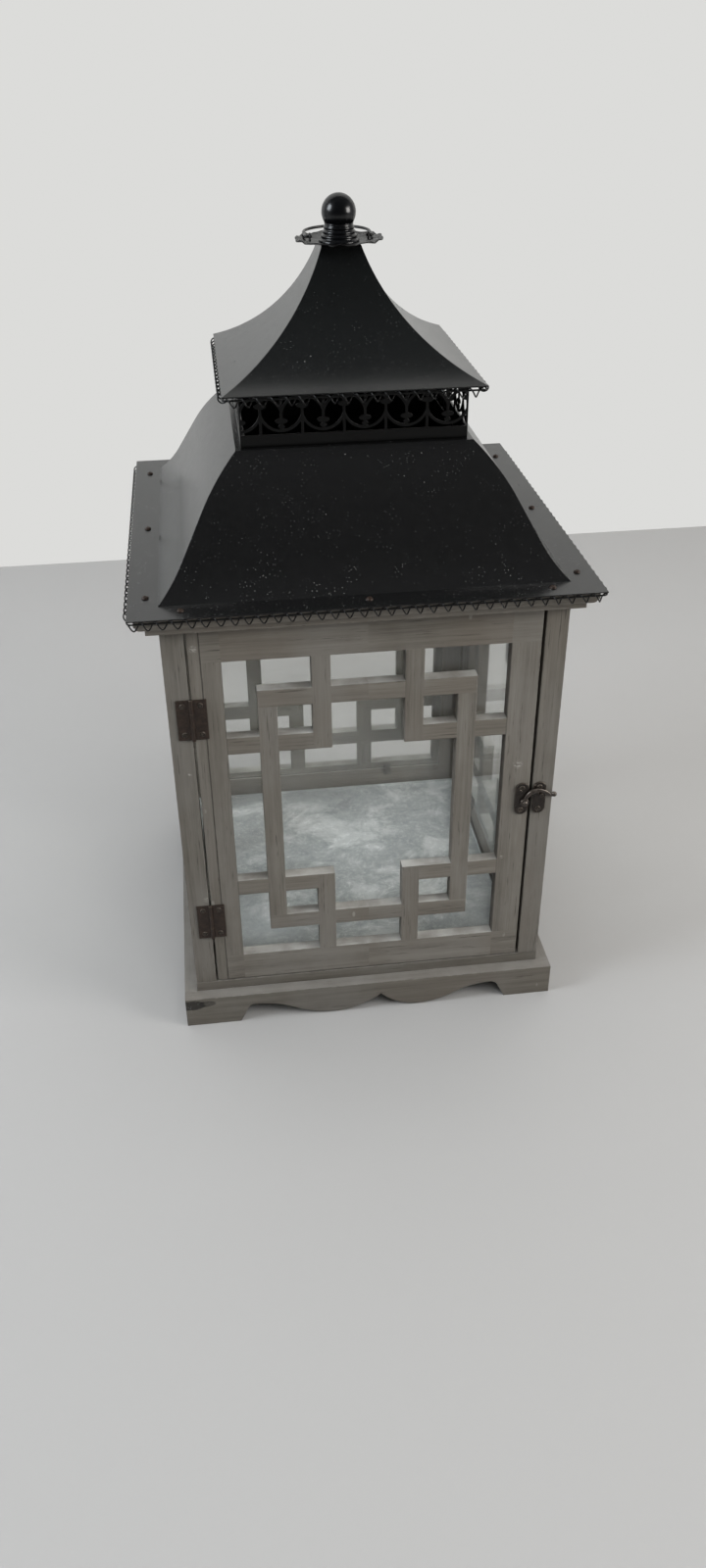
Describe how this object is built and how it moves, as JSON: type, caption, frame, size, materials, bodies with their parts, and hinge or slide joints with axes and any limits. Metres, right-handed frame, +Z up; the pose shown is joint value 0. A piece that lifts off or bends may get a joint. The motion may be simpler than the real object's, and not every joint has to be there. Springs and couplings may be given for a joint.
{
  "type": "candle lantern",
  "caption": "Square wooden candle lantern with fretwork panes, hook-latched hinged door, two-tier black metal pagoda roof with wire-trimmed eaves, ball finial and folding bail.",
  "frame": {"origin": "on the floor, under the centre of the lantern", "axes": "+Z up; -Y out of the door; +X to the right when facing the door from outside"},
  "size_m": [0.4092, 0.4092, 0.7477],
  "materials": {
    "grey_wood": "grey-washed, open grain, worn edges",
    "roof_sheet": "satin black with dust",
    "gallery_sheet": "satin black",
    "trim_wire": "satin black",
    "finial_black": "semi-gloss black",
    "disc_metal": "dark pewter, satin",
    "plain_steel": "dull",
    "dark_bronze": "antique bronze, worn edges",
    "roof_screws": "satin dark",
    "window_glass": "clear",
    "zinc_sheet": "mottled galvanised zinc"
  },
  "bodies": {
    "cabinet": {"apron_front": "grey_wood", "apron_right": "grey_wood", "apron_back": "grey_wood", "apron_left": "grey_wood", "base_board": "grey_wood", "post_front_left": "grey_wood", "post_front_right": "grey_wood", "post_back_left": "grey_wood", "post_back_right": "grey_wood", "door_stop": "grey_wood", "top_board": "grey_wood", "fretwork_right": "grey_wood", "fretwork_back": "grey_wood", "fretwork_left": "grey_wood", "lower_roof": "roof_sheet", "upper_roof": "roof_sheet", "gallery_front": "gallery_sheet", "gallery_right": "gallery_sheet", "gallery_back": "gallery_sheet", "gallery_left": "gallery_sheet", "lower_eave_wire": "trim_wire", "upper_eave_wire": "trim_wire", "lower_coil_front": "trim_wire", "lower_coil_right": "trim_wire", "lower_coil_back": "trim_wire", "lower_coil_left": "trim_wire", "upper_coil_front": "trim_wire", "upper_coil_right": "trim_wire", "upper_coil_back": "trim_wire", "upper_coil_left": "trim_wire", "finial_neck": "finial_black", "finial_ball": "finial_black", "ruffled_disc": "disc_metal", "finial_rod": "plain_steel", "finial_nut": "plain_steel", "glazing_clips_right": "plain_steel", "glazing_clips_back": "plain_steel", "glazing_clips_left": "plain_steel", "upper_hinge_frame_leaf": "dark_bronze", "lower_hinge_frame_leaf": "dark_bronze", "latch_keeper": "dark_bronze", "cabinet_hardware_screws": "dark_bronze", "brim_screws": "roof_screws", "glass_right": "window_glass", "glass_back": "window_glass", "glass_left": "window_glass", "zinc_tray": "zinc_sheet"},
    "door": {"door_panel": "grey_wood", "door_hinge_strip": "grey_wood", "door_glass": "window_glass", "glazing_clips_door": "plain_steel", "upper_hinge_door_leaf": "dark_bronze", "lower_hinge_door_leaf": "dark_bronze", "upper_hinge_pin": "dark_bronze", "lower_hinge_pin": "dark_bronze", "door_hardware_screws": "dark_bronze", "latch_plate": "dark_bronze", "latch_rivet": "dark_bronze"},
    "hook": {"latch_hook": "dark_bronze"},
    "bail": {"bail_handle": "disc_metal"}
  },
  "joints": [
    {"name": "door_swing", "type": "hinge", "parent": "cabinet", "child": "door", "pos_m": [-0.156, -0.179, 0.2435], "axis": [0, 0, -1], "range_deg": [0, 170]},
    {"name": "hook_lift", "type": "hinge", "parent": "door", "child": "hook", "pos_m": [0.1498, -0.1805, 0.2395], "axis": [0, -1, 0], "range_deg": [0, 100]},
    {"name": "bail_swing", "type": "hinge", "parent": "cabinet", "child": "bail", "pos_m": [0, 0, 0.7145], "axis": [1, 0, 0], "range_deg": [0, 178]}
  ]
}
